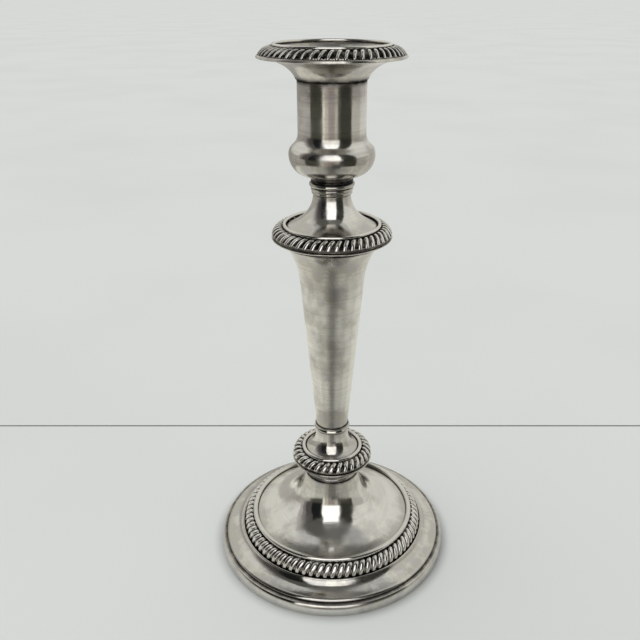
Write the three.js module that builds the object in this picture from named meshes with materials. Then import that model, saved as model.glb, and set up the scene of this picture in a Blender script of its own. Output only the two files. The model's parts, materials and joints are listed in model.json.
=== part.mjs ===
// Gadrooned table candlestick with a lift-off nozzle, weighted base and central tie rod.
// Millimetres, +Z up. The origin is the centre of the underside, on the table.
// Every piece is a closed body turned about the Z axis, apart from the two hex nuts.

import * as THREE from 'three';

// ---- Driving dimensions -------------------------------------------------------------------

const FACETS = 24;            // facets round a turned piece
const BASE_FACETS = 32;       // and round the wide pieces of the base
const GAP = 0.3;              // air between pieces that touch on the real object
const SHEET = 0.9;            // wall of the spun and stamped silver shells

const FOOT_R = 68.85;         // where the foot meets the table
const FOOT_H = 6.6;           // height of the rolled foot ring
const GROOVE_R = 65.7;        // groove between the foot ring and the base moulding
const FILLET = [55.6, 13.4];  // raised line round the outside of the base border
const DOME_EDGE = [46.0, 20.1];
const DOME_KNEE = [23.7, 29.8];
const DOME_TOP = [16.0, 49.0];

const COLLAR_R = 15.0;        // plain collar under the knop
const COLLAR_LIP_R = 16.0;
const COLLAR_TOP_Z = 57.0;
const KNOP_LIP = [22.7, 58.5];
const KNOP_DISH_EDGE = [15.5, 66.3];
const KNOP_NECK = [9.3, 79.1];

const COLUMN_FOOT_Z = 83.0;
const COLUMN_FOOT_R = 9.25;
const COLUMN_TAPER_TOP = [17.2, 172.0];
const COLUMN_TOP = [26.0, 194.2];

const SHOULDER_PLATE_Z = 195.1;
const SHOULDER_LIP = [30.5, 196.4];
const SHOULDER_DISH_EDGE = [23.4, 202.9];
const SHOULDER_NECK = [9.6, 219.6];
const NECK_BEAD = [10.4, 224.6, 1.2];

const SOCKET_BOTTOM = [12.8, 229.4];
const SOCKET_WIDEST = [21.6, 239.5];
const SOCKET_WAIST = [16.85, 250.5];
const SOCKET_TOP_Z = 274.4;
const LINER_BORE_R = 13.0;

const NOZZLE_SEAT = [17.4, 274.8];
const NOZZLE_LIP = [35.7, 285.7];
const NOZZLE_LIP_H = 1.0;
const CANDLE_BORE_R = 11.3;   // takes a 22 mm dinner candle
const CANDLE_DEPTH = 34.0;
const PAN_Z = 285.7;          // top of the pan at its middle

const ROD_R = 3.0;            // M6 tie rod
const ROD_HOLE_R = ROD_R + GAP;
const NUT_FLAT = 5.0;         // half the width across the flats of an M6 nut
const NUT_H = 5.0;

const PAD_H = 1.2;            // baize under the base
const PLATE_H = 1.3;          // closing plate above the baize
const PAD_R = 64.6;

// Each border is one struck strip: a plain round bead inside, gadroon lobes outside.
// bead: centre radius, centre height, bead radius. lobes: the four points of the crest curve.
const NOZZLE_BORDER = {
  bead: [27.5, 290.1, 0.85],
  lobes: [[28.4, 289.8], [31.0, 290.1], [34.2, 288.6], [35.0, 286.0]],
  seat: [[34.4, 286.0], [29.0, 288.4], [27.0, 289.15]],
};
const SHOULDER_BORDER = {
  bead: [24.65, 203.6, 0.9],
  lobes: [[25.7, 203.1], [28.5, 203.5], [31.1, 201.7], [31.4, 198.9]],
  seat: [[30.9, 198.9], [25.8, 201.9], [24.4, 202.65]],
};
const KNOP_BORDER = {
  bead: [16.8, 66.2, 1.05],
  lobes: [[17.95, 65.8], [20.5, 66.4], [23.3, 64.8], [23.5, 61.6]],
  seat: [[22.9, 61.6], [18.0, 64.3], [16.5, 65.1]],
};
const BASE_BORDER = {
  bead: [47.6, 20.7, 1.4],
  lobes: [[49.1, 20.0], [52.5, 19.6], [54.2, 16.4], [54.2, 12.8]],
  seat: [[53.7, 12.6], [49.1, 18.6], [47.2, 19.25]],
};

// ---- Finishes -----------------------------------------------------------------------------

const finish = (color, roughness, metalness) =>
  new THREE.MeshStandardMaterial({ color, roughness, metalness });

const SILVER = finish(0xc9c6bd, 0.22, 1.0);
const SILVER_BORDER = finish(0xbdbab0, 0.3, 1.0);
const SILVER_INSIDE = finish(0xa9a69c, 0.4, 1.0);
const STEEL = finish(0x8b8d8f, 0.45, 1.0);
const PITCH = finish(0x2a2420, 0.85, 0.0);
const TINPLATE = finish(0x9a9a96, 0.5, 1.0);
const BAIZE = finish(0x23402c, 0.95, 0.0);

// ---- Outline helpers: a point is [radius, height] ------------------------------------------

// Points along a cubic curve from one end to the other.
function curve(start, pullStart, pullEnd, end, steps) {
  const points = [start, pullStart, pullEnd, end].map(([r, z]) => new THREE.Vector2(r, z));
  return new THREE.CubicBezierCurve(...points).getPoints(steps).map((p) => [p.x, p.y]);
}

// Points along a circular arc, angles in degrees from the outward direction.
function arc([r, z, radius], fromDeg, toDeg, steps) {
  return Array.from({ length: steps + 1 }, (_, i) => {
    const angle = THREE.MathUtils.degToRad(fromDeg + ((toDeg - fromDeg) * i) / steps);
    return [r + radius * Math.cos(angle), z + radius * Math.sin(angle)];
  });
}

// The outline moved inward by a distance. Outlines run bottom to top with the outside on the right.
function inset(outline, distance) {
  const normals = outline.slice(1).map(([r, z], i) => {
    const dr = r - outline[i][0];
    const dz = z - outline[i][1];
    const length = Math.hypot(dr, dz);
    return [dz / length, -dr / length];
  });
  return outline.map(([r, z], i) => {
    const before = normals[Math.max(i - 1, 0)];
    const after = normals[Math.min(i, normals.length - 1)];
    const stretch = distance / (1 + before[0] * after[0] + before[1] * after[1]);
    return [r - (before[0] + after[0]) * stretch, z - (before[1] + after[1]) * stretch];
  });
}

// A sheet-metal outline: the outside face and the same face one wall thickness further in.
const sheet = (outline, wall = SHEET) => [...outline, ...inset(outline, wall).reverse()];

// ---- Mesh helpers -------------------------------------------------------------------------

// Turns a closed outline about +Z. Outlines run anticlockwise, with radius to the right.
function turned(name, outline, material, facets = FACETS) {
  const onAxis = outline[0][0] === 0;
  const loop = onAxis ? outline : [...outline, outline[0]];
  const geometry = new THREE.LatheGeometry(loop.map(([r, z]) => new THREE.Vector2(r, z)), facets);
  geometry.rotateX(Math.PI / 2);
  return named(name, geometry, material);
}

// A solid disc when hole is 0, otherwise a ring with square edges.
function disc(name, radius, hole, bottom, height, material, facets = FACETS) {
  const top = bottom + height;
  const outline = [[hole, bottom], [radius, bottom], [radius, top], [hole, top]];
  return turned(name, outline, material, facets);
}

// A hexagonal nut with its thread hole left plain.
function hexNut(name, bottom, material) {
  const corner = NUT_FLAT / Math.cos(Math.PI / 6);
  const outline = new THREE.Shape(Array.from({ length: 6 }, (_, i) =>
    new THREE.Vector2(corner * Math.cos((i * Math.PI) / 3), corner * Math.sin((i * Math.PI) / 3))));
  outline.holes.push(new THREE.Path().absarc(0, 0, ROD_HOLE_R, 0, 2 * Math.PI, true));
  const options = { depth: NUT_H, bevelEnabled: false, curveSegments: 8 };
  const mesh = named(name, new THREE.ExtrudeGeometry(outline, options), material);
  mesh.position.z = bottom;
  return mesh;
}

function named(name, geometry, material) {
  const mesh = new THREE.Mesh(geometry, material);
  mesh.name = name;
  return mesh;
}

// ---- Base ---------------------------------------------------------------------------------

const PLATE_Z = PAD_H + GAP;
const CAVITY_Z = PLATE_Z + PLATE_H + GAP;
const BASE_NUT_Z = CAVITY_Z + 1.0;
const BASE_WASHER_Z = BASE_NUT_Z + NUT_H + GAP;
const BASE_WASHER_R = 20.0;
const BASE_WASHER_H = 1.6;
const POCKET_TOP_Z = BASE_WASHER_Z + BASE_WASHER_H + GAP;

// The dome shell dips under the border, so the border sits on it.
const DOME_OUTLINE = [
  [53.9, 10.9],
  [53.5, 12.2],
  [48.9, 18.2],
  [46.6, 18.8],
  ...curve(DOME_EDGE, [36.6, 21.3], [30.9, 23.8], DOME_KNEE, 5),
  ...curve(DOME_KNEE, [19.7, 33.2], [17.4, 40.4], DOME_TOP, 4).slice(1),
];

function footRing() {
  const inner = PAD_R + GAP;
  return turned('base_foot_ring', [
    [inner, 0],
    ...curve([FOOT_R, 0], [69.4, 2.4], [69.3, 4.9], [67.9, FOOT_H], 4),
    [inner, FOOT_H],
  ], SILVER, BASE_FACETS);
}

// Rolled ogee: down from the fillet into a hollow, then over a round edge to the groove.
function baseMoulding() {
  const [filletR, filletZ] = FILLET;
  const roundEdge = [64.2, 8.5];
  return turned('base_moulding', sheet([
    ...curve([GROOVE_R, FOOT_H + GAP + 0.2], [65.6, 7.9], [64.7, 8.4], roundEdge, 3),
    ...curve(roundEdge, [59.8, 9.4], [56.9, 10.3], [filletR + 0.1, filletZ - 0.3], 5).slice(1),
    [filletR - 0.2, filletZ],
    [filletR - 0.6, filletZ],
  ], 0.7), SILVER, BASE_FACETS);
}

const footDome = () => turned('foot_dome', sheet(DOME_OUTLINE), SILVER, BASE_FACETS);

// The pitch that weights the base fills the dome up to the collar, with a pocket for the nut.
function weightFill() {
  const underDome = inset(DOME_OUTLINE, SHEET + GAP).slice(3);
  return turned('weight_fill', [
    [BASE_WASHER_R + 1, CAVITY_Z],
    [PAD_R - 1, CAVITY_Z],
    [PAD_R - 1, 5.8],
    [61.0, 7.6],
    [56.5, 8.6],
    [52.3, 10.6],
    [47.6, 16.6],
    ...underDome,
    [ROD_HOLE_R, DOME_TOP[1] - 1.5],
    [ROD_HOLE_R, POCKET_TOP_Z],
    [BASE_WASHER_R + 1, POCKET_TOP_Z],
  ], PITCH, BASE_FACETS);
}

function base() {
  return group(
    disc('felt_pad', PAD_R, 0, 0, PAD_H, BAIZE, BASE_FACETS),
    disc('closing_plate', PAD_R, 0, PLATE_Z, PLATE_H, TINPLATE, BASE_FACETS),
    footRing(),
    baseMoulding(),
    footDome(),
    border('base_gadroon_border', BASE_BORDER, BASE_FACETS),
    weightFill(),
    hexNut('base_rod_nut', BASE_NUT_Z, STEEL),
    disc('base_rod_washer', BASE_WASHER_R, ROD_HOLE_R, BASE_WASHER_Z, BASE_WASHER_H, STEEL),
  );
}

// ---- Borders ------------------------------------------------------------------------------

// One border strip: the lobes' crest curve, the bead, and the seat that it is soldered down on.
function border(name, { bead, lobes, seat }, facets = FACETS) {
  const [inner, pullInner, pullOuter, outer] = lobes;
  return turned(name, [
    ...curve(outer, pullOuter, pullInner, inner, 3),
    ...arc(bead, -10, 200, 4),
    ...seat.slice().reverse(),
  ], SILVER_BORDER, facets);
}

// ---- Knop ---------------------------------------------------------------------------------

// Plain collar between the dome and the knop, with a lip where it lands on the dome.
function knopCollar() {
  const bottom = DOME_TOP[1] + GAP;
  return turned('knop_collar', [
    [ROD_HOLE_R, bottom],
    [COLLAR_LIP_R - 0.3, bottom],
    [COLLAR_LIP_R, bottom + 0.5],
    [COLLAR_R, bottom + 1.3],
    [COLLAR_R, COLLAR_TOP_Z],
    [ROD_HOLE_R, COLLAR_TOP_Z],
  ], SILVER);
}

// Plate under the knop's border. Its edge is the plain lip below the gadroons.
function knopUnderplate() {
  const [lipR, lipZ] = KNOP_LIP;
  const floor = COLLAR_TOP_Z + GAP;
  return turned('knop_underplate', [
    [ROD_HOLE_R, floor],
    [COLLAR_R + 1.5, floor],
    [lipR, lipZ],
    [lipR + 0.9, lipZ + 1.0],
    [lipR + 0.8, lipZ + 1.5],
    [lipR - 0.8, lipZ + 1.5],
    [COLLAR_R, floor + 1.2],
    [ROD_HOLE_R, floor + 1.2],
  ], SILVER);
}

function knopDish() {
  const [edgeR, edgeZ] = KNOP_DISH_EDGE;
  return turned('knop_dish', sheet([
    [22.9, 61.2],
    [18.0, 63.9],
    [edgeR + 0.3, edgeZ - 1.2],
    [edgeR - 0.1, edgeZ - 0.4],
    ...curve([edgeR - 0.4, edgeZ], [10.9, 68.2], [9.1, 72.5], KNOP_NECK, 4),
  ]), SILVER);
}

function knop() {
  return group(
    knopCollar(),
    knopUnderplate(),
    knopDish(),
    border('knop_gadroon_border', KNOP_BORDER),
  );
}

// ---- Column -------------------------------------------------------------------------------

const FOOT_RING_Z = KNOP_NECK[1] + GAP;

function columnFootRing() {
  return turned('column_foot_ring', [
    [ROD_HOLE_R, FOOT_RING_Z],
    [9.7, FOOT_RING_Z],
    [10.4, FOOT_RING_Z + 0.6],
    [10.4, FOOT_RING_Z + 1.4],
    [9.9, FOOT_RING_Z + 2.0],
    [9.7, COLUMN_FOOT_Z - GAP],
    [ROD_HOLE_R, COLUMN_FOOT_Z - GAP],
  ], SILVER);
}

// The tapered column, straight for most of its height and flared under the shoulder.
const COLUMN_OUTLINE = [
  [COLUMN_FOOT_R, COLUMN_FOOT_Z],
  ...curve([COLUMN_FOOT_R + 0.1, COLUMN_FOOT_Z + 4], [12.0, 113], [14.8, 145], COLUMN_TAPER_TOP, 3),
  ...curve(COLUMN_TAPER_TOP, [18.3, 184], [21.6, 190], COLUMN_TOP, 4).slice(1),
];

const columnShell = () => turned('column_shell', sheet(COLUMN_OUTLINE), SILVER);

// Pitch run in round the rod, stopping short of the column's ends.
function columnFill() {
  const wall = inset(COLUMN_OUTLINE, SHEET + GAP);
  const last = wall.length - 1;
  return turned('column_fill', [
    [ROD_HOLE_R, COLUMN_FOOT_Z + 1],
    ...wall.filter((_, i) => i > 0 && i < last),
    [ROD_HOLE_R, wall[last - 1][1]],
  ], PITCH);
}

function column() {
  return group(columnFootRing(), columnShell(), columnFill());
}

// ---- Shoulder -----------------------------------------------------------------------------

// Plate that closes the column's top. Its edge is the plain lip below the gadroons.
function shoulderUnderplate() {
  const [lipR, lipZ] = SHOULDER_LIP;
  const floor = SHOULDER_PLATE_Z;
  return turned('shoulder_underplate', [
    [ROD_HOLE_R, floor],
    [COLUMN_TOP[0] + 0.4, floor],
    [lipR, lipZ],
    [lipR + 0.9, lipZ + 0.7],
    [lipR + 0.8, lipZ + 1.0],
    [lipR - 0.7, lipZ + 1.0],
    [COLUMN_TOP[0], floor + 1.0],
    [ROD_HOLE_R, floor + 1.0],
  ], SILVER);
}

function shoulderDish() {
  const [edgeR, edgeZ] = SHOULDER_DISH_EDGE;
  return turned('shoulder_dish', sheet([
    [30.9, 198.5],
    [25.7, 201.5],
    [edgeR + 0.5, edgeZ - 0.7],
    [edgeR, edgeZ - 0.2],
    ...curve([edgeR - 0.3, edgeZ], [14.0, 206.6], [10.0, 212.5], SHOULDER_NECK, 5),
  ]), SILVER);
}

function neckCollar() {
  const bottom = SHOULDER_NECK[1] + GAP;
  return turned('neck_collar', [
    [ROD_HOLE_R, bottom],
    [10.4, bottom],
    [10.4, bottom + 1.6],
    [10.8, bottom + 2.0],
    [10.8, NECK_BEAD[1] - NECK_BEAD[2] - GAP],
    [ROD_HOLE_R, NECK_BEAD[1] - NECK_BEAD[2] - GAP],
  ], SILVER);
}

function neckBead() {
  const [, beadZ, beadSize] = NECK_BEAD;
  return turned('neck_bead', [
    [ROD_HOLE_R, beadZ - beadSize],
    ...arc(NECK_BEAD, -90, 90, 4),
    [ROD_HOLE_R, beadZ + beadSize],
  ], SILVER);
}

function shoulder() {
  return group(
    shoulderUnderplate(),
    shoulderDish(),
    border('shoulder_gadroon_border', SHOULDER_BORDER),
    neckCollar(),
    neckBead(),
  );
}

// ---- Candle socket ------------------------------------------------------------------------

const SOCKET_FLOOR = 1.2;
const TOP_WASHER_Z = SOCKET_BOTTOM[1] + SOCKET_FLOOR + GAP;
const TOP_WASHER_H = 1.4;
const TOP_NUT_Z = TOP_WASHER_Z + TOP_WASHER_H + GAP;
const ROD_TOP_Z = TOP_NUT_Z + NUT_H + 1.5;
const ROD_BOTTOM_Z = BASE_NUT_Z - 0.5;

function socketFoot() {
  const bottom = NECK_BEAD[1] + NECK_BEAD[2] + GAP;
  const top = SOCKET_BOTTOM[1] - GAP;
  return turned('socket_foot', [
    [ROD_HOLE_R, bottom],
    [10.7, bottom],
    [10.7, bottom + 1.1],
    [11.3, top - 1.0],
    [12.4, top],
    [ROD_HOLE_R, top],
  ], SILVER);
}

// Urn-shaped socket: a full bulb below and a straight tube above, with an in-turned rim.
function candleSocket() {
  const outside = [
    [ROD_HOLE_R, SOCKET_BOTTOM[1]],
    ...curve(SOCKET_BOTTOM, [17.9, 229.6], [21.6, 234.2], SOCKET_WIDEST, 5),
    ...curve(SOCKET_WIDEST, [21.6, 245.0], [16.85, 243.3], SOCKET_WAIST, 6).slice(1),
    [SOCKET_WAIST[0], SOCKET_TOP_Z],
  ];
  const inside = inset(outside, SHEET).slice(2, -1);
  const floorZ = SOCKET_BOTTOM[1] + SOCKET_FLOOR;
  const rim = SOCKET_TOP_Z - SHEET;
  const linerWall = LINER_BORE_R + SHEET + GAP;
  return turned('candle_socket', [
    ...outside,
    [linerWall, SOCKET_TOP_Z],
    [linerWall, rim],
    [SOCKET_WAIST[0] - SHEET, rim],
    ...inside.reverse(),
    [SOCKET_BOTTOM[0], floorZ],
    [ROD_HOLE_R, floorZ],
  ], SILVER);
}

// Straight cup inside the socket that the nozzle's tube drops into.
function socketLiner() {
  const outer = LINER_BORE_R + SHEET;
  const bottom = ROD_TOP_Z + 0.8;
  return turned('socket_liner', [
    [0, bottom],
    [outer, bottom],
    [outer, SOCKET_TOP_Z],
    [LINER_BORE_R, SOCKET_TOP_Z],
    [LINER_BORE_R, bottom + SHEET],
    [0, bottom + SHEET],
  ], SILVER_INSIDE);
}

function socket() {
  return group(
    socketFoot(),
    candleSocket(),
    socketLiner(),
    disc('top_rod_washer', 9.0, ROD_HOLE_R, TOP_WASHER_Z, TOP_WASHER_H, STEEL),
    hexNut('top_rod_nut', TOP_NUT_Z, STEEL),
    disc('tie_rod', ROD_R, 0, ROD_BOTTOM_Z, ROD_TOP_Z - ROD_BOTTOM_Z, STEEL),
  );
}

// ---- Nozzle: lifts straight out of the socket ----------------------------------------------

const TUBE_R = CANDLE_BORE_R + SHEET;
const TUBE_HOLE_R = TUBE_R + GAP;

// The pan dips inside the bead and turns out into the plain lip below the gadroons.
function nozzlePan() {
  const [lipR, lipZ] = NOZZLE_LIP;
  return turned('nozzle_pan', [
    [TUBE_HOLE_R, PAN_Z - SHEET],
    [20.0, PAN_Z - SHEET],
    [26.8, 288.1],
    [29.0, 287.2],
    [33.4, 285.2],
    [34.2, lipZ - NOZZLE_LIP_H],
    [lipR - 0.1, lipZ - NOZZLE_LIP_H],
    [lipR, lipZ],
    [34.4, lipZ],
    [28.9, 288.1],
    [26.9, 288.85],
    [26.2, 289.3],
    ...curve([25.9, 289.1], [24.6, 286.9], [21.0, PAN_Z], [17.0, PAN_Z], 4),
    [TUBE_HOLE_R, PAN_Z],
  ], SILVER_INSIDE);
}

// Flared skirt under the pan, with a floor that rests on the socket's rim.
function nozzleSkirt() {
  const [seatR, seatZ] = NOZZLE_SEAT;
  const flare = curve(NOZZLE_SEAT, [18.9, 278.6], [24.0, 283.2], [32.8, 284.1], 4);
  const inside = inset(flare, SHEET).slice(1);
  return turned('nozzle_skirt', [
    [TUBE_HOLE_R, seatZ],
    ...flare,
    ...inside.reverse(),
    [seatR - 0.6, seatZ + SHEET],
    [TUBE_HOLE_R, seatZ + SHEET],
  ], SILVER);
}

// Candle tube: rolled rim above the pan, closed floor below.
function nozzleTube() {
  const rimZ = PAN_Z + GAP;
  const floorZ = rimZ - CANDLE_DEPTH;
  return turned('nozzle_tube', [
    [0, floorZ - SHEET],
    [TUBE_R, floorZ - SHEET],
    [TUBE_R, rimZ],
    [TUBE_R + 1.2, rimZ],
    [TUBE_R + 1.2, rimZ + 0.7],
    [CANDLE_BORE_R, rimZ + 0.7],
    [CANDLE_BORE_R, floorZ],
    [0, floorZ],
  ], SILVER_INSIDE);
}

function nozzle() {
  return group(
    nozzlePan(),
    border('nozzle_gadroon_border', NOZZLE_BORDER),
    nozzleSkirt(),
    nozzleTube(),
  );
}

// ---- Assembly -----------------------------------------------------------------------------

function group(...children) {
  const assembly = new THREE.Group();
  assembly.add(...children);
  return assembly;
}

export default group(base(), knop(), column(), shoulder(), socket(), nozzle());
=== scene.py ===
"""Looks of the gadrooned silver candlestick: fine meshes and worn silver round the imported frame, in a
room made of cards that the silver mirrors.

Blender works in metres. Outlines below are [radius, height] in millimetres, as in the part's source,
and become metres when a mesh is made.
"""

import json
import math

import bmesh
import bpy
import numpy as np
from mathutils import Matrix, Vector, noise

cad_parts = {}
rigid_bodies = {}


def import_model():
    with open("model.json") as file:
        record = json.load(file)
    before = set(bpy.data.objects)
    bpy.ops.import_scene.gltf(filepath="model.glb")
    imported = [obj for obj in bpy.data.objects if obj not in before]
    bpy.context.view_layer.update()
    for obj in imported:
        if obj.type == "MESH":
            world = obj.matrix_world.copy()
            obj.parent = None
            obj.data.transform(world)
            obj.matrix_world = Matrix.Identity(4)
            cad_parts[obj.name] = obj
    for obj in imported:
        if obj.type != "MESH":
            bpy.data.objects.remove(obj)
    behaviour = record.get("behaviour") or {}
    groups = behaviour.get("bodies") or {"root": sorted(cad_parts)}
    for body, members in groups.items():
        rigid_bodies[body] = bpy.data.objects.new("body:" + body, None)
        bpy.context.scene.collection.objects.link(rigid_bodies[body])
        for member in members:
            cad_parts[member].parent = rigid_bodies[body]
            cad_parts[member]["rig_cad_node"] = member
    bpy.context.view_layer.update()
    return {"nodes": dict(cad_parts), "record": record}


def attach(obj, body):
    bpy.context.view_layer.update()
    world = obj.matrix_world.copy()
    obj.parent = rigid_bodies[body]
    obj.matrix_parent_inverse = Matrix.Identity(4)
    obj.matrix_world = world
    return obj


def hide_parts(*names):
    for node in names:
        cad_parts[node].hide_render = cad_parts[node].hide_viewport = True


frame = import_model()

# ---- Driving dimensions, millimetres ---------------------------------------------------------

MM = 0.001
SHEET = 0.9                   # wall of the spun and stamped silver shells
GAP = 0.3                     # air between neighbouring pieces

PAD_R, PAD_H = 64.6, 1.2
FOOT_R, FOOT_H = 68.85, 6.6
GROOVE_R = 65.7
FILLET = [55.6, 13.4]
DOME_EDGE = [46.0, 20.1]
DOME_KNEE = [23.7, 29.8]
DOME_TOP = [16.0, 49.0]

COLLAR_R, COLLAR_LIP_R, COLLAR_TOP_Z = 15.0, 16.0, 57.0
KNOP_LIP = [22.7, 58.5]
KNOP_DISH_EDGE = [15.5, 66.3]
KNOP_NECK = [9.3, 79.1]

COLUMN_FOOT = [9.25, 83.0]
COLUMN_TAPER_TOP = [17.2, 172.0]
COLUMN_TOP = [26.0, 194.2]

SHOULDER_PLATE_Z = 195.1
SHOULDER_LIP = [30.5, 196.4]
SHOULDER_DISH_EDGE = [23.4, 202.9]
SHOULDER_NECK = [9.6, 219.6]
NECK_BEAD = [10.4, 224.6, 1.2]

SOCKET_BOTTOM = [12.8, 229.4]
SOCKET_WIDEST = [21.6, 239.5]
SOCKET_WAIST = [16.85, 250.5]
SOCKET_TOP_Z = 274.4
LINER_BORE_R = 13.0
LINER_BOTTOM_Z = 239.9

NOZZLE_SEAT = [17.4, 274.8]
NOZZLE_LIP = [35.7, 285.7]
CANDLE_BORE_R = 11.3
CANDLE_DEPTH = 34.0
PAN_Z = 285.7

ROD_HOLE_R = 3.3

# bead: centre radius, centre height, bead radius. lobes: crest curve from the inside out. widths: half
# widths of a lobe's outer and inner end, in half lobes. black: how much black stands in the grooves.
BORDERS = {
    "nozzle_gadroon_border": {
        "count": 56,
        "bead": [27.5, 290.15, 0.75],
        "lobes": [[28.4, 289.8], [31.0, 290.1], [33.9, 288.4], [35.0, 286.0]],
        "seat": [[34.4, 286.0], [29.0, 288.4], [27.0, 289.15]],
        "widths": [0.38, 0.62],
        "black": 2.3,
    },
    "shoulder_gadroon_border": {
        "count": 48,
        "bead": [24.65, 203.6, 0.9],
        "lobes": [[25.7, 203.1], [28.5, 203.5], [30.4, 201.5], [31.4, 198.9]],
        "seat": [[30.9, 198.9], [25.8, 201.9], [24.4, 202.65]],
        "widths": [0.56, 0.70],
        "black": 1.9,
    },
    "knop_gadroon_border": {
        "count": 33,
        "bead": [16.8, 66.2, 1.05],
        "lobes": [[17.95, 65.8], [20.5, 66.4], [23.3, 64.8], [23.5, 61.6]],
        "seat": [[22.9, 61.6], [18.0, 64.3], [16.5, 65.1]],
        "widths": [0.56, 0.72],
        "black": 1.8,
    },
    "base_gadroon_border": {
        "count": 82,
        "bead": [47.6, 20.7, 1.4],
        "lobes": [[49.1, 20.0], [52.5, 19.6], [54.3, 16.4], [54.5, 12.8]],
        "seat": [[53.7, 12.6], [49.1, 18.6], [47.2, 19.25]],
        "widths": [0.66, 0.80],
        "black": 1.4,
    },
}

# Where the polishing cloth doesn't reach, and where shade falls under the knop, the shoulder's lip and the
# nozzle's skirt: radius, height and reach of the black that stays there, partly real sulphide and partly
# painted shade.
CREVICES_AND_SHADE = [
    # base
    [66.3, 6.8, 0.8], [54.9, 12.9, 0.3], [46.2, 19.5, 0.6], [15.7, 49.3, 1.0],
    # knop
    [15.0, 53.8, 2.4], [15.0, 57.3, 0.9], [23.3, 61.2, 0.7], [15.6, 65.8, 0.6],
    # column
    [9.5, 79.3, 0.6], [9.6, 82.9, 0.6], [26.0, 194.6, 1.0],
    # shoulder and neck
    [31.2, 198.3, 0.7], [23.5, 202.7, 0.6], [9.9, 219.8, 0.4], [10.6, 221.6, 0.15],
    [10.8, 223.3, 0.25], [10.7, 227.0, 1.7],
    # socket and nozzle
    [12.6, 229.3, 1.2], [17.2, 274.6, 1.4], [34.8, 286.0, 0.15], [26.3, 289.2, 0.4],
]
FILM_REACH = 7.0              # how many times further the brown film, with the painted shade in it, spreads than the black
TARNISH_AND_SHADE = [                 # film alone, in the same terms and from the base up: real tarnish, and painted shade under the knop, under the shoulder and under the nozzle's skirt
    [64.0, 8.5, 4.0], [55.5, 11.5, 4.5], [14.8, 46.5, 9.0],
    [13.5, 67.5, 8.0],
    [10.0, 86.0, 9.0], [21.5, 190.0, 18.0],
    [21.0, 203.6, 8.0],
    [21.0, 236.0, 7.0], [17.0, 248.8, 2.2], [16.9, 270.0, 5.0], [23.0, 281.5, 14.0],
]

FINE, NARROW = 224, 160       # facets round a wide and a narrow piece
WAVE, WAVE_LENGTH = 0.018, 26.0   # unevenness of hand-finished silver

# ---- Outlines --------------------------------------------------------------------------------


def curve(start, pull_start, pull_end, end, steps=18):
    """Points along a cubic curve."""
    points = np.array([start, pull_start, pull_end, end], float)
    t = np.linspace(0, 1, steps + 1)[:, None]
    weights = np.hstack([(1 - t) ** 3, 3 * t * (1 - t) ** 2, 3 * t * t * (1 - t), t ** 3])
    return (weights @ points).tolist()


def arc(centre_r, centre_z, radius, start, end, steps=14):
    """Points along an arc, angles in degrees from the outward direction."""
    angles = np.radians(np.linspace(start, end, steps + 1))
    return [[centre_r + radius * math.cos(a), centre_z + radius * math.sin(a)] for a in angles]


def inset(outline, distance):
    """The outline moved inward. Outlines run bottom to top with the outside on the right."""
    points = np.array(outline, float)
    steps = np.diff(points, axis=0)
    steps /= np.linalg.norm(steps, axis=1)[:, None]
    normals = np.column_stack([steps[:, 1], -steps[:, 0]])
    before = np.vstack([normals[:1], normals])
    after = np.vstack([normals, normals[-1:]])
    stretch = distance / (1 + (before * after).sum(1))
    return (points - (before + after) * stretch[:, None]).tolist()


def sheet(outline, wall=SHEET):
    """The outside face, and the same face one wall thickness further in."""
    return outline + inset(outline, wall)[::-1]


def eased(outline, radius=0.18, steps=4):
    """A closed outline with each sharp corner turned into a small round."""
    points = np.array(outline, float)
    made = []
    for before, at, after in zip(np.roll(points, 1, 0), points, np.roll(points, -1, 0)):
        back, ahead = before - at, after - at
        reach_back, reach_ahead = np.linalg.norm(back), np.linalg.norm(ahead)
        turn = float(back @ ahead) / (reach_back * reach_ahead)
        if at[0] == 0 or turn < -math.cos(math.radians(14)):
            made.append(at.tolist())
            continue
        cut = min(radius, 0.45 * reach_back, 0.45 * reach_ahead)
        start, end = at + back / reach_back * cut, at + ahead / reach_ahead * cut
        made += curve(start, start + (at - start) * 0.55, end + (at - end) * 0.55, end, steps)
    return made


def divided(outline, longest=0.9):
    """A closed outline with its long straight runs cut into shorter ones."""
    made = []
    for at, after in zip(outline, outline[1:] + outline[:1]):
        on_axis = at[0] == 0 and after[0] == 0
        parts = 1 if on_axis else max(1, math.ceil(math.dist(at, after) / longest))
        for i in range(parts):
            share = i / parts
            made.append([at[0] + (after[0] - at[0]) * share, at[1] + (after[1] - at[1]) * share])
    return made


# ---- Meshes ----------------------------------------------------------------------------------


def skinned(name, rings, closed):
    """A mesh over rings of points, in millimetres. A ring of one point is a pole on the axis."""
    starts = np.cumsum([0] + [len(ring) for ring in rings]).tolist()
    faces = []
    pairs = list(range(len(rings) - 1)) + ([-1] if closed else [])
    for i in pairs:
        a, b = starts[i] if i >= 0 else starts[-2], starts[i + 1] if i >= 0 else 0
        size_a, size_b = len(rings[i]), len(rings[i + 1])
        count = max(size_a, size_b)
        for k in range(count):
            n = (k + 1) % count
            corners = [a + k % size_a, a + n % size_a, b + n % size_b, b + k % size_b]
            faces.append(list(dict.fromkeys(corners)))
    mesh = bpy.data.meshes.new(name)
    mesh.from_pydata((np.vstack(rings) * MM).tolist(), [], faces)
    work = bmesh.new()
    work.from_mesh(mesh)
    bmesh.ops.recalc_face_normals(work, faces=work.faces)
    work.to_mesh(mesh)
    work.free()
    mesh.shade_smooth()
    piece = bpy.data.objects.new(name, mesh)
    bpy.context.scene.collection.objects.link(piece)
    return piece


def store(piece, name, values):
    """Keeps one number per vertex, which the materials read."""
    attribute = piece.data.attributes.new(name, "FLOAT", "POINT")
    attribute.data.foreach_set("value", np.asarray(values, np.float32))


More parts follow.
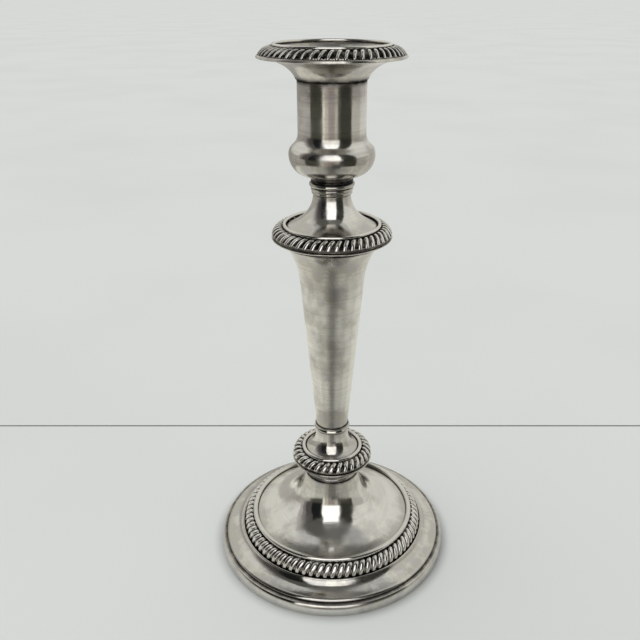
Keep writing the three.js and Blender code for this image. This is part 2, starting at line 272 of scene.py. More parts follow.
def grime_and_shade(points, places, reach_scale=1.0):
    """How near each point is to the nearest of some places, from 0 to 1."""
    radius, height = np.hypot(points[:, 0], points[:, 1]), points[:, 2]
    nearest = np.zeros(len(points))
    for r, z, reach in places:
        far = np.hypot(radius - r, height - z) / (reach * reach_scale)
        nearest = np.maximum(nearest, np.exp(-far * far))
    return nearest


def wave(points):
    """Points pushed in or out of the axis a little, as hand-finished silver is."""
    waves = [noise.noise(Vector(p) / WAVE_LENGTH) for p in points]
    push = 1 - WAVE * (1 + np.array(waves)) / np.maximum(np.hypot(points[:, 0], points[:, 1]), 5)
    return np.column_stack([points[:, 0] * push, points[:, 1] * push, points[:, 2]])


def track(outline):
    """The distance along an outline to each of its points."""
    steps = np.linalg.norm(np.diff(np.array(outline, float), axis=0), axis=1)
    return np.concatenate([[0], np.cumsum(steps)])


def turned(node, outline, facets=FINE, corner=0.18):
    """Turns a closed outline about the axis, as the finished surface of that CAD node."""
    outline = divided(eased(outline, corner))
    poles = [i for i, point in enumerate(outline) if point[0] == 0]
    closed = not poles
    if poles:
        outline = np.roll(outline, -poles[-1] if poles[0] == 0 else -poles[1], axis=0).tolist()
    angles = np.arange(facets) * 2 * math.pi / facets
    rings = []
    for r, z in outline:
        around = angles if r else angles[:1]
        rings.append(np.column_stack([r * np.cos(around), r * np.sin(around), np.full(len(around), z)]))
    rings = [wave(ring) for ring in rings]
    piece = skinned(node + "_finished", rings, closed)
    along = np.concatenate([np.full(len(ring), s) for ring, s in zip(rings, track(outline))])
    return finished(piece, node, np.vstack(rings), along, np.zeros(len(along)))


def finished(piece, node, points, along, depth):
    """Stores what the silver needs, and ties the piece to its body and node."""
    store(piece, "along", along)
    # black and film hold real sulphide and tarnish, and painted shade under the knop, the shoulder and the
    # nozzle's skirt
    store(piece, "black", np.maximum(grime_and_shade(points, CREVICES_AND_SHADE), depth))
    store(piece, "film_and_shade", np.maximum(grime_and_shade(points, CREVICES_AND_SHADE, FILM_REACH), grime_and_shade(points, TARNISH_AND_SHADE)))
    place(piece, node)
    return piece


def place(piece, node):
    """Ties a piece to the body that carries its node, and has it stand in for that node."""
    body = next(name for name, nodes in frame["record"]["behaviour"]["bodies"].items() if node in nodes)
    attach(piece, body)
    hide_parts(node)


# ---- Gadroon borders -------------------------------------------------------------------------

LOBE_DEPTH = 0.9              # from a lobe's crest to the bottom of the groove
LOBE_LEAN = 0.75              # how far a lobe's inner end is turned past its outer end, in lobes
LOBE_FULLNESS = 2.4           # 2 is a round lobe, and more is flatter on top
LOBE_FACETS = 22              # facets across one lobe and its groove
LOBE_RINGS = 26               # steps along one lobe
HEAD_END, TAIL_END = 0.16, 0.06   # how much of a lobe's length rounds off at its two ends
DART_HEIGHT = 0.45            # the dart between two lobes, against a lobe's height
DART_MIDDLE, DART_LENGTH, DART_WIDTH = 0.30, 0.22, 0.24
GROOVE_BLACK = 2.4            # how fast the black thins out from the groove to the crest


def gadroon_height(across, down, widths):
    """Height from 0 in the groove to 1 on the crest. across runs from -1 to 1 over a lobe and its
    grooves, and down from 0 at the lobe's outer end to 1 at its inner end."""
    tail, head = widths
    past_head, past_tail = max(down - (1 - HEAD_END), 0), max(TAIL_END - down, 0)
    head_round = math.sqrt(max(1 - (past_head / HEAD_END) ** 2, 0))
    tail_round = math.sqrt(max(1 - (past_tail / TAIL_END) ** 2, 0))
    half_width = tail + (head - tail) * min(down / 0.75, 1) ** 1.6
    half_width = half_width * head_round * (0.6 + 0.4 * tail_round)
    lobe = np.clip(1 - np.abs(across / max(half_width, 1e-3)) ** LOBE_FULLNESS, 0, 1)
    lobe = lobe ** (1 / LOBE_FULLNESS)
    lobe = lobe * (0.45 + 0.55 * tail_round) * (0.35 + 0.65 * head_round)
    beside = (1 - np.abs(across)) / DART_WIDTH
    lengthwise = (down - DART_MIDDLE) / DART_LENGTH
    dart = DART_HEIGHT * np.sqrt(np.clip(1 - beside ** 2 - lengthwise ** 2, 0, 1))
    return np.maximum(lobe, dart)


def gadroon_border(node, count, bead, lobes, seat, widths, black):
    """One border strip: leaning lobes with a dart between each two, inside a plain round bead."""
    inner, pull_inner, pull_outer, outer = lobes
    crest = np.array(curve(outer, pull_outer, pull_inner, inner, LOBE_RINGS))
    rest = divided(arc(*bead, -25, 200, 14) + seat[::-1], 2.4)
    slope = np.gradient(crest, axis=0)
    slope /= np.linalg.norm(slope, axis=1)[:, None]
    inward = np.column_stack([-slope[:, 1], slope[:, 0]])
    across = np.linspace(-1, 1, LOBE_FACETS + 1)[:-1]
    turn = np.concatenate([(across + 1) / 2 + k for k in range(count)]) / count * 2 * math.pi
    across = np.tile(across, count)
    rings, blacks = [], []
    for i, (point, step) in enumerate(zip(crest, inward)):
        down = i / (len(crest) - 1)
        height = gadroon_height(across, down, widths)
        sunk = point[None, :] + step[None, :] * (LOBE_DEPTH * (1 - height))[:, None]
        angle = turn + LOBE_LEAN * down ** 1.3 * 2 * math.pi / count
        rings.append(np.column_stack([sunk[:, 0] * np.cos(angle), sunk[:, 0] * np.sin(angle), sunk[:, 1]]))
        blacks.append(np.clip(black - GROOVE_BLACK * height, 0, 1))
    angle = turn + LOBE_LEAN * 2 * math.pi / count
    for i, (r, z) in enumerate(rest):
        rings.append(np.column_stack([r * np.cos(angle), r * np.sin(angle), np.full(len(angle), z)]))
        blacks.append(np.full(len(angle), 1.0 if i == 0 else 0.0))
    piece = skinned(node + "_finished", rings, True)
    outline = crest.tolist() + rest
    along = np.repeat(track(outline), len(turn))
    return finished(piece, node, np.vstack(rings), along, np.concatenate(blacks))


# ---- The pieces, from the table up -----------------------------------------------------------


def base_pieces():
    inner = PAD_R + GAP
    turned("base_foot_ring", [
        [inner, 0],
        *curve([FOOT_R, 0], [69.37, 2.4], [69.27, 4.9], [67.9, FOOT_H]),
        [inner, FOOT_H],
    ])
    round_edge = [64.2, 8.5]
    turned("base_moulding", sheet([
        *curve([GROOVE_R, FOOT_H + GAP + 0.2], [65.6, 7.9], [64.7, 8.4], round_edge, 12),
        *curve(round_edge, [59.8, 9.4], [56.9, 10.3], [FILLET[0] + 0.1, FILLET[1] - 0.3], 30)[1:],
        [FILLET[0] - 0.2, FILLET[1]],
        [FILLET[0] - 0.6, FILLET[1]],
    ], 0.7))
    turned("foot_dome", sheet([
        [53.9, 10.9], [53.5, 12.2], [48.9, 18.2], [46.6, 18.8],
        *curve(DOME_EDGE, [36.6, 21.3], [30.9, 23.8], DOME_KNEE, 36),
        *curve(DOME_KNEE, [19.7, 33.2], [17.4, 40.4], DOME_TOP, 30)[1:],
    ]))


def knop_pieces():
    bottom = DOME_TOP[1] + GAP
    turned("knop_collar", [
        [ROD_HOLE_R, bottom], [COLLAR_LIP_R - 0.3, bottom], [COLLAR_LIP_R, bottom + 0.5],
        [COLLAR_R, bottom + 1.3], [COLLAR_R, COLLAR_TOP_Z], [ROD_HOLE_R, COLLAR_TOP_Z],
    ], NARROW, 0.35)
    lip_r, lip_z = KNOP_LIP
    floor = COLLAR_TOP_Z + GAP
    turned("knop_underplate", [
        [ROD_HOLE_R, floor], [COLLAR_R + 1.5, floor], [lip_r, lip_z], [lip_r + 0.9, lip_z + 1.0],
        [lip_r + 0.8, lip_z + 1.5], [lip_r - 0.8, lip_z + 1.5], [COLLAR_R, floor + 1.2],
        [ROD_HOLE_R, floor + 1.2],
    ], NARROW, 0.5)
    edge_r, edge_z = KNOP_DISH_EDGE
    turned("knop_dish", sheet([
        [22.9, 61.2], [18.0, 63.9], [edge_r + 0.3, edge_z - 1.2], [edge_r - 0.1, edge_z - 0.4],
        *curve([edge_r - 0.4, edge_z], [10.9, 68.2], [9.1, 72.5], KNOP_NECK, 26),
    ]), NARROW)


def column_pieces():
    foot = KNOP_NECK[1] + GAP
    turned("column_foot_ring", [
        [ROD_HOLE_R, foot], [9.7, foot], [10.4, foot + 0.6], [10.4, foot + 1.4], [9.9, foot + 2.0],
        [9.7, COLUMN_FOOT[1] - GAP], [ROD_HOLE_R, COLUMN_FOOT[1] - GAP],
    ], NARROW, 0.4)
    foot_r, foot_z = COLUMN_FOOT
    turned("column_shell", sheet([
        COLUMN_FOOT,
        *curve([foot_r + 0.1, foot_z + 4], [12.0, 113], [14.8, 145], COLUMN_TAPER_TOP, 60),
        *curve(COLUMN_TAPER_TOP, [18.3, 184], [21.6, 190], COLUMN_TOP, 26)[1:],
    ]), NARROW)


def shoulder_pieces():
    lip_r, lip_z = SHOULDER_LIP
    floor = SHOULDER_PLATE_Z
    turned("shoulder_underplate", [
        [ROD_HOLE_R, floor], [COLUMN_TOP[0] + 0.4, floor], [lip_r, lip_z], [lip_r + 0.9, lip_z + 0.7],
        [lip_r + 0.8, lip_z + 1.0], [lip_r - 0.7, lip_z + 1.0], [COLUMN_TOP[0], floor + 1.0],
        [ROD_HOLE_R, floor + 1.0],
    ], FINE, 0.4)
    edge_r, edge_z = SHOULDER_DISH_EDGE
    turned("shoulder_dish", sheet([
        [30.9, 198.5], [25.7, 201.5], [edge_r + 0.5, edge_z - 0.7], [edge_r, edge_z - 0.2],
        *curve([edge_r - 0.3, edge_z], [14.0, 206.6], [10.0, 212.5], SHOULDER_NECK, 40),
    ]), FINE)
    bottom = SHOULDER_NECK[1] + GAP
    turned("neck_collar", [
        [ROD_HOLE_R, bottom], [10.4, bottom], [10.4, bottom + 1.6], [10.8, bottom + 2.0],
        [10.8, NECK_BEAD[1] - NECK_BEAD[2] - GAP], [ROD_HOLE_R, NECK_BEAD[1] - NECK_BEAD[2] - GAP],
    ], NARROW, 0.3)
    bead_r, bead_z, bead = NECK_BEAD
    turned("neck_bead", [
        [ROD_HOLE_R, bead_z - bead], *arc(bead_r, bead_z, bead, -90, 90), [ROD_HOLE_R, bead_z + bead],
    ], NARROW)


def socket_pieces():
    bottom = NECK_BEAD[1] + NECK_BEAD[2] + GAP
    top = SOCKET_BOTTOM[1] - GAP
    turned("socket_foot", [
        [ROD_HOLE_R, bottom], [10.7, bottom], [10.7, bottom + 1.1], [11.3, top - 1.0], [12.4, top],
        [ROD_HOLE_R, top],
    ], NARROW, 0.4)
    outside = [
        [ROD_HOLE_R, SOCKET_BOTTOM[1]],
        *curve(SOCKET_BOTTOM, [17.9, 229.6], [21.6, 234.2], SOCKET_WIDEST, 30),
        *curve(SOCKET_WIDEST, [21.6, 245.0], [16.85, 243.3], SOCKET_WAIST, 30)[1:],
        [SOCKET_WAIST[0], SOCKET_TOP_Z],
    ]
    inside = inset(outside, SHEET)[2:-1]
    floor = SOCKET_BOTTOM[1] + 1.2
    rim = SOCKET_TOP_Z - SHEET
    liner_wall = LINER_BORE_R + SHEET + GAP
    turned("candle_socket", [
        *outside, [liner_wall, SOCKET_TOP_Z], [liner_wall, rim], [SOCKET_WAIST[0] - SHEET, rim],
        *inside[::-1], [SOCKET_BOTTOM[0], floor], [ROD_HOLE_R, floor],
    ])
    outer = LINER_BORE_R + SHEET
    turned("socket_liner", [
        [0, LINER_BOTTOM_Z], [outer, LINER_BOTTOM_Z], [outer, SOCKET_TOP_Z],
        [LINER_BORE_R, SOCKET_TOP_Z], [LINER_BORE_R, LINER_BOTTOM_Z + SHEET],
        [0, LINER_BOTTOM_Z + SHEET],
    ], NARROW)


def nozzle_pieces():
    lip_r, lip_z = NOZZLE_LIP
    tube_r = CANDLE_BORE_R + SHEET
    tube_hole = tube_r + GAP
    turned("nozzle_pan", [
        [tube_hole, PAN_Z - SHEET], [20.0, PAN_Z - SHEET], [26.8, 288.1], [29.0, 287.2], [33.4, 285.2],
        [34.4, lip_z - 1.3], [lip_r - 0.2, lip_z - 1.3], [lip_r + 0.15, lip_z - 1.0],
        [lip_r - 0.4, lip_z + 0.2], [34.4, lip_z + 0.2], [28.9, 288.1], [26.9, 288.85], [26.2, 289.3],
        *curve([25.9, 289.1], [24.6, 286.9], [21.0, PAN_Z], [17.0, PAN_Z]),
        [tube_hole, PAN_Z],
    ], FINE, 0.4)
    seat_r, seat_z = NOZZLE_SEAT
    flare = curve(NOZZLE_SEAT, [18.9, 278.6], [24.0, 283.2], [32.8, 284.1], 30)
    turned("nozzle_skirt", [
        [tube_hole, seat_z], *flare, *inset(flare, SHEET)[:0:-1],
        [seat_r - 0.6, seat_z + SHEET], [tube_hole, seat_z + SHEET],
    ])
    rim_z = PAN_Z + GAP
    floor = rim_z - CANDLE_DEPTH
    turned("nozzle_tube", [
        [0, floor - SHEET], [tube_r, floor - SHEET], [tube_r, rim_z], [13.4, rim_z], [13.4, rim_z + 0.7],
        [CANDLE_BORE_R, rim_z + 0.7], [CANDLE_BORE_R, floor], [0, floor],
    ], NARROW, 0.3)


base_pieces()
knop_pieces()
column_pieces()
shoulder_pieces()
socket_pieces()
nozzle_pieces()
for node, shape in BORDERS.items():
    gadroon_border(node, **shape)


def felt_pad():
    """Baize disc glued under the base, with an uneven nap."""
    rings = [np.array([[0, 0, PAD_H]])]
    edge = arc(PAD_R - 0.45, PAD_H - 0.45, 0.45, 90, 0, 4) + arc(PAD_R - 0.45, 0.5, 0.45, 0, -90, 4)
    reach = np.linspace(PAD_R - 1.5, 1.5, 60)
    angles = np.arange(FINE) * 2 * math.pi / FINE
    for r, z in edge + [[r, 0.05] for r in reach]:
        rings.append(np.column_stack([r * np.cos(angles), r * np.sin(angles), np.full(FINE, z)]))
    rings.append(np.array([[0, 0, 0.05]]))
    for ring in rings[len(edge):]:
        ring[:, 2] += [0.12 * max(0, noise.noise(Vector(p) * 1.7)) for p in ring]
    piece = skinned("felt_pad_finished", rings, False)
    place(piece, "felt_pad")


felt_pad()

# ---- Materials -------------------------------------------------------------------------------


class Shading:
    """A material's node tree, with short calls for the nodes that the finishes share."""

    def __init__(self, name):
        self.material = bpy.data.materials.new(name)
        self.material.use_nodes = True
        self.tree = self.material.node_tree
        self.surface = self.tree.nodes["Principled BSDF"]

    def node(self, kind, inputs=None, **settings):
        made = self.tree.nodes.new(kind)
        for key, value in settings.items():
            setattr(made, key, value)
        for key, value in (inputs or {}).items():
            self.feed(made, key, value)
        return made

    def feed(self, node, key, value):
        if isinstance(value, bpy.types.NodeSocket):
            self.tree.links.new(value, node.inputs[key])
        else:
            node.inputs[key].default_value = value

    def kept(self, name):
        """A number stored on the mesh."""
        return self.node("ShaderNodeAttribute", attribute_name=name).outputs["Fac"]

    def place(self):
        return self.node("ShaderNodeTexCoord").outputs["Object"]

    def cloud(self, vector, scale, detail=4.0, roughness=0.6):
        inputs = {"Vector": vector, "Scale": scale, "Detail": detail, "Roughness": roughness}
        return self.node("ShaderNodeTexNoise", inputs).outputs["Fac"]

    def span(self, value, low, high, to_low=0.0, to_high=1.0):
        inputs = {0: value, 1: low, 2: high, 3: to_low, 4: to_high}
        return self.node("ShaderNodeMapRange", inputs, interpolation_type="SMOOTHSTEP").outputs[0]

    def sum(self, a, b, operation="ADD"):
        return self.node("ShaderNodeMath", {0: a, 1: b}, operation=operation, use_clamp=True).outputs[0]

    def blend(self, share, a, b):
        inputs = {0: share, 6: a, 7: b}
        return self.node("ShaderNodeMix", inputs, data_type="RGBA").outputs[2]


def hue(red, green, blue):
    return (red, green, blue, 1.0)


CLEAN = hue(0.80, 0.785, 0.745)
BROWN = hue(0.35, 0.315, 0.25)
VIOLET = hue(0.33, 0.31, 0.32)
# the black of sulphide in the hollows, also used as painted shade under overhangs
SULPHIDE_AND_SHADE = hue(0.012, 0.011, 0.010)


def silver(name, gloss, haze, stain, brushed=0.03):
    """Worn antique silver. gloss is the roughness of its cleanest patches, haze what the dullest add,
    stain from 0 to 1 how much of the brown and violet tarnish, with the painted shade that comes with it,
    is left, and brushed the depth of the polishing lines that run round the piece. Its hollows go black,
    partly real sulphide and partly painted shade."""
    s = Shading(name)
    at = s.place()
    x, y, _ = s.node("ShaderNodeSeparateXYZ", {0: at}).outputs
    along = s.kept("along")
    slow_x = s.node("ShaderNodeMath", {0: x, 1: 20.0}, operation="MULTIPLY").outputs[0]
    slow_y = s.node("ShaderNodeMath", {0: y, 1: 20.0}, operation="MULTIPLY").outputs[0]
    rubbed = s.node("ShaderNodeCombineXYZ", {0: slow_x, 1: slow_y, 2: along}).outputs[0]
    fine_lines = s.cloud(rubbed, 1.3, 3.0, 0.75)
    broad_lines = s.cloud(rubbed, 0.35, 3.0, 0.65)
    patches = s.cloud(at, 38.0, 5.0, 0.62)
    smudges = s.cloud(at, 150.0, 4.0, 0.7)
    # the stored film darkens the silver to brown: real tarnish, and painted shade under overhangs
    settled_film_and_shade = s.sum(s.kept("film_and_shade"), s.span(smudges, 0.3, 0.6, 0.5, 1.0), "MULTIPLY")
    film_and_shade = s.sum(s.span(patches, 0.46, 0.70), settled_film_and_shade)
    film_and_shade = s.sum(film_and_shade, s.span(broad_lines, 0.46, 0.72, 0.0, 6.0 * brushed))
    film_and_shade = s.sum(film_and_shade, stain, "MULTIPLY")
    tint = s.blend(s.span(smudges, 0.4, 0.62), BROWN, VIOLET)
    metal = s.blend(film_and_shade, CLEAN, tint)
    metal = s.blend(s.span(fine_lines, 0.45, 0.8, 0.0, 4.0 * brushed), metal, BROWN)
    # the stored black turns the silver near-black: real sulphide in the hollows, and painted shade under
    # overhangs
    black = s.sum(s.kept("black"), s.span(smudges, 0.3, 0.7, 0.75, 1.25), "MULTIPLY")
    s.feed(s.surface, "Base Color", s.blend(black, metal, SULPHIDE_AND_SHADE))
    dull = s.sum(s.span(patches, 0.35, 0.7), s.span(smudges, 0.35, 0.75, 0.0, 0.5))
    dull = s.sum(dull, s.span(broad_lines, 0.35, 0.7, 0.0, 4.0 * brushed))
    rough = s.span(dull, 0.0, 1.0, gloss, gloss + haze)
    s.feed(s.surface, "Roughness", s.sum(rough, s.sum(black, 0.35, "MULTIPLY")))
    s.surface.inputs["Metallic"].default_value = 1.0
    scored = s.node("ShaderNodeBump", {
        "Strength": brushed, "Distance": 0.0006, "Height": fine_lines,
    }).outputs[0]
    worn = s.node("ShaderNodeBump", {
        "Strength": 0.03, "Distance": 0.002, "Height": s.cloud(at, 120.0, 2.0), "Normal": scored,
    }).outputs[0]
    s.feed(s.surface, "Normal", worn)
    return s.material


def steel():
    s = Shading("blued_steel")
    at = s.place()
    wear = s.cloud(at, 900.0)
    s.feed(s.surface, "Base Color", s.blend(wear, hue(0.20, 0.20, 0.21), hue(0.46, 0.45, 0.43)))
    s.feed(s.surface, "Roughness", s.span(wear, 0.3, 0.7, 0.3, 0.6))
    s.surface.inputs["Metallic"].default_value = 1.0
    return s.material


def tinplate():
    s = Shading("tinplate")
    spangle = s.node("ShaderNodeTexVoronoi", {"Vector": s.place(), "Scale": 140.0}).outputs["Color"]
    shade = s.node("ShaderNodeSeparateColor", {0: spangle}).outputs[0]
    s.feed(s.surface, "Base Color", s.blend(shade, hue(0.42, 0.42, 0.40), hue(0.60, 0.60, 0.57)))
    s.feed(s.surface, "Roughness", s.span(shade, 0.0, 1.0, 0.35, 0.55))
    s.surface.inputs["Metallic"].default_value = 1.0
    return s.material


def pitch():
    s = Shading("pitch")
    lumps = s.cloud(s.place(), 160.0, 6.0)
    s.feed(s.surface, "Base Color", s.blend(lumps, hue(0.012, 0.010, 0.008), hue(0.05, 0.04, 0.03)))
    s.feed(s.surface, "Roughness", s.span(lumps, 0.3, 0.7, 0.45, 0.85))
    bump = s.node("ShaderNodeBump", {"Strength": 0.5, "Distance": 0.001, "Height": lumps}).outputs[0]
    s.feed(s.surface, "Normal", bump)
    return s.material


def baize():
    s = Shading("baize")
    at = s.place()
    fibres = s.cloud(at, 2600.0, 4.0, 0.75)
    worn = s.cloud(at, 55.0, 4.0)
    pile = s.blend(fibres, hue(0.012, 0.045, 0.022), hue(0.05, 0.15, 0.075))
    s.feed(s.surface, "Base Color", s.blend(s.span(worn, 0.5, 0.75, 0.0, 0.6), pile, hue(0.11, 0.15, 0.09)))
    s.surface.inputs["Roughness"].default_value = 0.95
    s.surface.inputs["Sheen Weight"].default_value = 0.4
    bump = s.node("ShaderNodeBump", {"Strength": 0.7, "Distance": 0.0005, "Height": fibres}).outputs[0]
    s.feed(s.surface, "Normal", bump)
    return s.material


def wear(pieces, material, slot):
    """Gives the pieces one finish; slot, the record's name for it, is not used."""
    for piece in pieces:
        piece.data.materials.clear()
        piece.data.materials.append(material)


def named(*nodes):
    """The shown object for each node: its finished piece, or the CAD node itself."""
    return [bpy.data.objects.get(node + "_finished") or frame["nodes"][node] for node in nodes]


polished = silver("polished_silver", gloss=0.08, haze=0.12, stain=0.52)
lined = silver("lined_silver", gloss=0.10, haze=0.12, stain=0.7, brushed=0.06)
hazed = silver("hazed_silver", gloss=0.16, haze=0.12, stain=0.65, brushed=0.06)
struck = silver("struck_silver", gloss=0.08, haze=0.09, stain=0.2)
dulled = silver("dulled_silver", gloss=0.14, haze=0.22, stain=0.8)
wear(named("base_foot_ring", "base_moulding", "foot_dome", "knop_collar", "knop_underplate", "knop_dish",
           "column_foot_ring", "shoulder_underplate", "shoulder_dish", "neck_collar", "neck_bead",
           "socket_foot"), polished, "silver")
wear(named("candle_socket", "nozzle_skirt"), lined, "silver")
wear(named("column_shell"), hazed, "silver")
wear(named(*BORDERS), struck, "silver_border")
wear(named("nozzle_pan", "nozzle_tube", "socket_liner"), dulled, "silver_inside")
wear(named("tie_rod", "top_rod_washer", "top_rod_nut", "base_rod_washer", "base_rod_nut"), steel(), "steel")
wear(named("weight_fill", "column_fill"), pitch(), "pitch")
wear(named("closing_plate"), tinplate(), "tinplate")
wear(named("felt_pad"), baize(), "baize")

# ---- Studio ----------------------------------------------------------------------------------

CAMERA_AWAY = 0.350           # metres in front of the axis
CAMERA_HEIGHT = 0.31354
CAMERA_TILT = 25.263          # degrees down from level
LENS, SENSOR = 39.546, 36.0
CAMERA_SHIFT = -0.01875

FLOOR_SIZE = 60.0
JOINT_Y, JOINT_WIDTH = 0.1173, 0.0016

# The cards stand round the object like a room: floor strips from NEAR to FAR, walls up to WALL_TOP and
# a ceiling edge in to CEILING_IN, all in metres.
NEAR, FAR, WALL_TOP, CEILING_IN = 0.42, 1.6, 3.1, 0.55
FEET = 0.085                  # where the mirrored floor starts round the foot
ON_FLOOR = 0.001

# How bright the floor near the object is from one turn to the next, darkest towards the camera.
FLOOR_TONES = [
    (-180, -105, 0.80), (-105, -62, 0.74), (-62, -24, 0.58), (-24, -13, 0.40), (-13, 13, 0.22),
    (13, 24, 0.40), (24, 60, 0.48), (60, 100, 0.60), (100, 180, 0.72),
]
FLOOR_WARMTH = 0.91           # its blue against its red and green


def camera():
    data = bpy.data.cameras.new("camera")
    data.lens, data.sensor_width, data.shift_x = LENS, SENSOR, CAMERA_SHIFT
    data.clip_start, data.clip_end = 0.01, 100.0
    made = bpy.data.objects.new("camera", data)
    made.location = (0, -CAMERA_AWAY, CAMERA_HEIGHT)
    made.rotation_euler = (math.radians(90 - CAMERA_TILT), 0, 0)
    bpy.context.scene.collection.objects.link(made)
    bpy.context.scene.camera = made


def slab(name, low, high, top, material):
    """A flat slab of the floor, from one corner to the other."""
    (x0, y0), (x1, y1) = low, high
    depth = 0.02
    mesh = bpy.data.meshes.new(name)
    work = bmesh.new()
    bmesh.ops.create_cube(work, size=1.0)
    bmesh.ops.scale(work, vec=(x1 - x0, y1 - y0, depth), verts=work.verts)
    bmesh.ops.translate(work, vec=((x0 + x1) / 2, (y0 + y1) / 2, top - depth / 2), verts=work.verts)
    work.to_mesh(mesh)
    work.free()
    mesh.materials.append(material)
    made = bpy.data.objects.new(name, mesh)
    bpy.context.scene.collection.objects.link(made)


def pale_stone(name, light, dark):
    """Stone with faint clouds, and the shade that gathers where the foot stands on it."""
    s = Shading(name)
    at = s.place()
    clouds = s.cloud(at, 3.0, 2.0, 0.5)
    away = s.node("ShaderNodeVectorMath", {0: at}, operation="LENGTH").outputs["Value"]
    lit = s.span(away, 0.066, 0.076, 0.62, 1.0)
    stone = s.blend(s.span(clouds, 0.35, 0.75), light, dark)
    s.feed(s.surface, "Base Color", s.blend(lit, hue(0.0, 0.0, 0.0), stone))
    s.surface.inputs["Roughness"].default_value = 0.6
    s.surface.inputs["Specular IOR Level"].default_value = 0.0
    return s.material


def floor():
    reach = FLOOR_SIZE / 2
    stone = pale_stone("pale_stone", hue(0.80, 0.81, 0.80), hue(0.77, 0.78, 0.77))
    slab("floor_front", (-reach, -reach), (reach, JOINT_Y), 0.0, stone)
    slab("floor_back", (-reach, JOINT_Y + JOINT_WIDTH), (reach, reach), 0.0, stone)
    shade = pale_stone("joint_shade", hue(0.08, 0.08, 0.08), hue(0.12, 0.12, 0.12))
    slab("floor_joint", (-reach, JOINT_Y - 0.01), (reach, JOINT_Y + JOINT_WIDTH + 0.01), -0.0005, shade)


def card(name, turn_from, turn_to, path, radiance):
    """A studio card that only reflections see, bent round the axis. Turns are in degrees from the
    camera's side, to the right; the path is its [distance, height] section in metres; radiance is
    linear red, green and blue."""
    steps = 24
    turns = np.radians(np.linspace(turn_from, turn_to, steps + 1))
    points = [(away * math.sin(t), -away * math.cos(t), z) for away, z in path for t in turns]
    faces = []
    for row in range(len(path) - 1):
        first = row * (steps + 1)
        faces += [(k, k + 1, k + steps + 2, k + steps + 1) for k in range(first, first + steps)]
    mesh = bpy.data.meshes.new(name)
    mesh.from_pydata(points, [], faces)
    material = bpy.data.materials.new(name)
    material.use_nodes = True
    nodes = material.node_tree.nodes
    nodes.clear()
    glow = nodes.new("ShaderNodeEmission")
    glow.inputs["Color"].default_value = (*radiance, 1.0)
    output = nodes.new("ShaderNodeOutputMaterial")
    material.node_tree.links.new(glow.outputs[0], output.inputs[0])
    mesh.materials.append(material)
    made = bpy.data.objects.new(name, mesh)
    for ray in ("camera", "diffuse", "transmission", "volume_scatter", "shadow"):
        setattr(made, "visible_" + ray, False)
    bpy.context.scene.collection.objects.link(made)


def daylight(name, direction, spread, strength):
    """Soft light from one side of the room, which the silver itself doesn't mirror."""
    data = bpy.data.lights.new(name, "SUN")
    data.angle, data.energy = math.radians(spread), strength
    made = bpy.data.objects.new(name, data)
    made.visible_glossy = False
    made.rotation_euler = Vector(direction).to_track_quat("-Z", "Y").to_euler()
    bpy.context.scene.collection.objects.link(made)


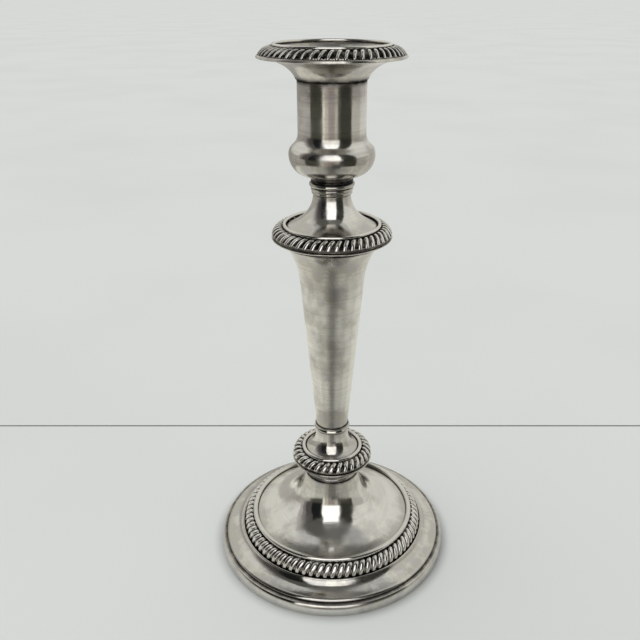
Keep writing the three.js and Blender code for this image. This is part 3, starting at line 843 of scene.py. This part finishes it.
def room_cards():
    """The room that the silver mirrors: each card's name, its turns, its section and its radiance."""
    foot, sill, band, side, upper = ([FAR, z] for z in (ON_FLOOR, 0.14, 0.28, 0.5, 2.8))
    top, ceiling, zenith = [FAR, WALL_TOP], [CEILING_IN, WALL_TOP], [0.01, WALL_TOP]
    back_ceiling, back_wall = [0.9, WALL_TOP], [FAR - 0.01, 2.2]
    front, split = FAR - 0.02, 2.3          # cards that stand just inside the walls, in two heights
    shade = [[front, 0.1], [front, split]]
    shade_top = [[front, split], [front, WALL_TOP]]
    streak = [[0.28, 2 * ON_FLOOR], [0.72, 2 * ON_FLOOR]]
    strip = [[NEAR, ON_FLOOR], foot]
    return [
        # what stands dark on both sides of the window
        ("low_left", -75, -31, [*strip, sill], (0.075, 0.077, 0.060)),
        ("low_right", 27, 67, [*strip, sill], (0.055, 0.054, 0.042)),
        ("dark_left", -64, -31, [sill, upper], (0.012, 0.014, 0.014)),
        ("flank_left_top", -96, -31, [*shade_top, ceiling], (0.10, 0.10, 0.09)),
        ("shade_left", -83, -64, shade, (0.085, 0.078, 0.080)),
        ("haze_left", -92, -83, shade, (0.22, 0.205, 0.20)),
        ("haze_left_edge", -101, -92, shade, (0.45, 0.43, 0.41)),
        ("haze_left_top", -112, -96, shade_top, (0.36, 0.35, 0.33)),
        ("dark_right", 24, 67, [sill, upper], (0.035, 0.036, 0.030)),
        ("flank_right_top", 24, 67, [upper, top, ceiling], (0.14, 0.14, 0.13)),
        ("floor_streak", -2, 24, streak, (0.11, 0.115, 0.105)),
        # the floor and the low wall under the window, and the window
        ("edge_left", -31, -24, [*strip, band], (0.95, 0.93, 0.83)),
        ("fall_left", -24, -12, [*strip, band], (0.56, 0.52, 0.46)),
        ("middle_low", -12, 9, [*strip, band], (0.34, 0.30, 0.28)),
        ("edge_right", 9, 19, [*strip, band], (0.52, 0.49, 0.43)),
        ("fall_right", 19, 27, [*strip, band], (0.10, 0.10, 0.09)),
        ("window", -31, 24, [band, top], (1.5, 1.5, 1.48)),
        # overhead
        ("ceiling_grey", -31, 24, [top, ceiling], (0.15, 0.15, 0.14)),
        ("ceiling_above", -180, 180, [ceiling, zenith], (0.15, 0.15, 0.145)),
        ("ceiling_behind", 150, 210, [zenith, back_ceiling], (0.13, 0.13, 0.125)),
        ("dark_behind", 150, 210, [back_ceiling, top, back_wall], (0.10, 0.10, 0.095)),
        # the pale rest of the room
        ("side_right", 67, 105, [*strip, side], (0.50, 0.49, 0.45)),
        ("side_behind", 105, 180, [*strip, side], (0.68, 0.67, 0.63)),
        ("side_left", -180, -75, [*strip, side], (0.46, 0.45, 0.42)),
        ("high_right", 67, 130, [side, top], (0.78, 0.78, 0.73)),
        ("high_left", -130, -75, [side, top], (0.76, 0.76, 0.72)),
        ("high_back", 130, 230, [side, top], (0.74, 0.74, 0.69)),
    ]


def studio():
    world = bpy.data.worlds.new("studio")
    bpy.context.scene.world = world
    world.use_nodes = True
    background = world.node_tree.nodes["Background"]
    background.inputs["Color"].default_value = hue(0.90, 0.92, 0.90)
    background.inputs["Strength"].default_value = 0.62
    daylight("daylight", (0.5, -0.15, -1.0), 70.0, 1.05)
    for turn_from, turn_to, tone in FLOOR_TONES:
        path = [[FEET, ON_FLOOR], [NEAR, ON_FLOOR]]
        card(f"floor_from_{turn_from}", turn_from, turn_to, path, (tone, tone, FLOOR_WARMTH * tone))
    for room_card in room_cards():
        card(*room_card)


bpy.context.scene.view_settings.view_transform = "Standard"
camera()
floor()
studio()
